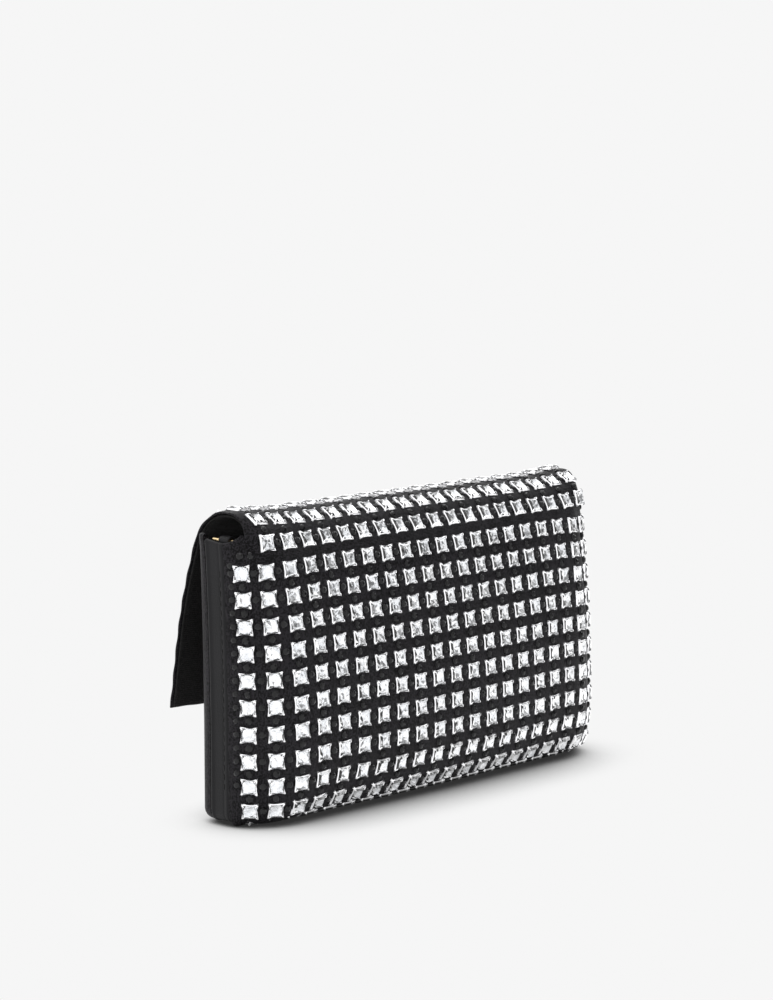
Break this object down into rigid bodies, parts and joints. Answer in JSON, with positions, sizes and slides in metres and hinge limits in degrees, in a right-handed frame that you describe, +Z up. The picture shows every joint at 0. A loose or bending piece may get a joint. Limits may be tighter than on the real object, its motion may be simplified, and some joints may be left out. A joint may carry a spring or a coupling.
{
  "type": "chain wallet",
  "caption": "Flat bag-shaped wallet covered in stones, with a hanging magnetic front flap, two compartments, card slots and a D-ring for a chain at each end.",
  "frame": {"origin": "the table of the centre stone of the base, on the plane that the wallet stands on", "axes": "+X along the width, from the left gusset to the right one, seen with the flap towards the viewer; +Y from the front with its flap to the back; +Z up"},
  "size_m": [0.1906, 0.0604, 0.1121],
  "materials": {
    "black_satin": "smooth satin cloth with a soft sheen",
    "black_leather": "fine smooth leather",
    "stiffener_board": "plain board",
    "interlining": "soft felt",
    "lining_cloth": "plain woven lining",
    "thread": "twisted thread",
    "clear_crystal": "clear faceted crystal with a silvered back in a claw setting",
    "black_stone": "polished black faceted stone",
    "magnet_steel": "plain nickel plating",
    "gold_metal": "polished pale gold plating"
  },
  "bodies": {
    "body": {"back_cover": "black_satin", "front_cover": "black_satin", "base_cover": "black_satin", "left_gusset": "black_leather", "right_gusset": "black_leather", "left_ring_tab": "black_leather", "right_ring_tab": "black_leather", "pocket_divider": "black_leather", "card_slot_top": "black_leather", "card_slot_middle": "black_leather", "card_slot_bottom": "black_leather", "back_board": "stiffener_board", "front_board": "stiffener_board", "base_board": "stiffener_board", "back_lining": "lining_cloth", "front_lining": "lining_cloth", "base_lining": "lining_cloth", "left_gusset_lining": "lining_cloth", "right_gusset_lining": "lining_cloth", "left_gusset_stitching": "thread", "right_gusset_stitching": "thread", "back_square_stones": "clear_crystal", "base_square_stones": "clear_crystal", "front_square_stones": "clear_crystal", "back_round_stones": "black_stone", "base_round_stones": "black_stone", "front_round_stones": "black_stone", "front_magnet": "magnet_steel"},
    "fold": {"fold_cover": "black_satin", "fold_interlining": "interlining", "fold_lining": "lining_cloth", "fold_square_stones": "clear_crystal", "fold_round_stones": "black_stone"},
    "flap": {"flap_cover": "black_satin", "flap_board": "stiffener_board", "flap_lining": "lining_cloth", "flap_magnet": "magnet_steel", "flap_square_stones": "clear_crystal", "flap_round_stones": "black_stone"},
    "left_ring": {"left_d_ring": "gold_metal"},
    "right_ring": {"right_d_ring": "gold_metal"}
  },
  "joints": [
    {"name": "fold_hinge", "type": "hinge", "parent": "body", "child": "fold", "pos_m": [0, 0.01161, 0.09734], "axis": [-1, 0, 0], "range_deg": [0, 90]},
    {"name": "flap_hinge", "type": "hinge", "parent": "fold", "child": "flap", "pos_m": [0, -0.02079, 0.10439], "axis": [-1, 0, 0], "range_deg": [-13, 90]},
    {"name": "left_ring_swing", "type": "hinge", "parent": "body", "child": "left_ring", "pos_m": [-0.0904, -0.0062, 0.1003], "axis": [0, -1, 0], "range_deg": [0, 95]},
    {"name": "right_ring_swing", "type": "hinge", "parent": "body", "child": "right_ring", "pos_m": [0.0904, -0.0062, 0.1003], "axis": [0, 1, 0], "range_deg": [0, 95]}
  ]
}
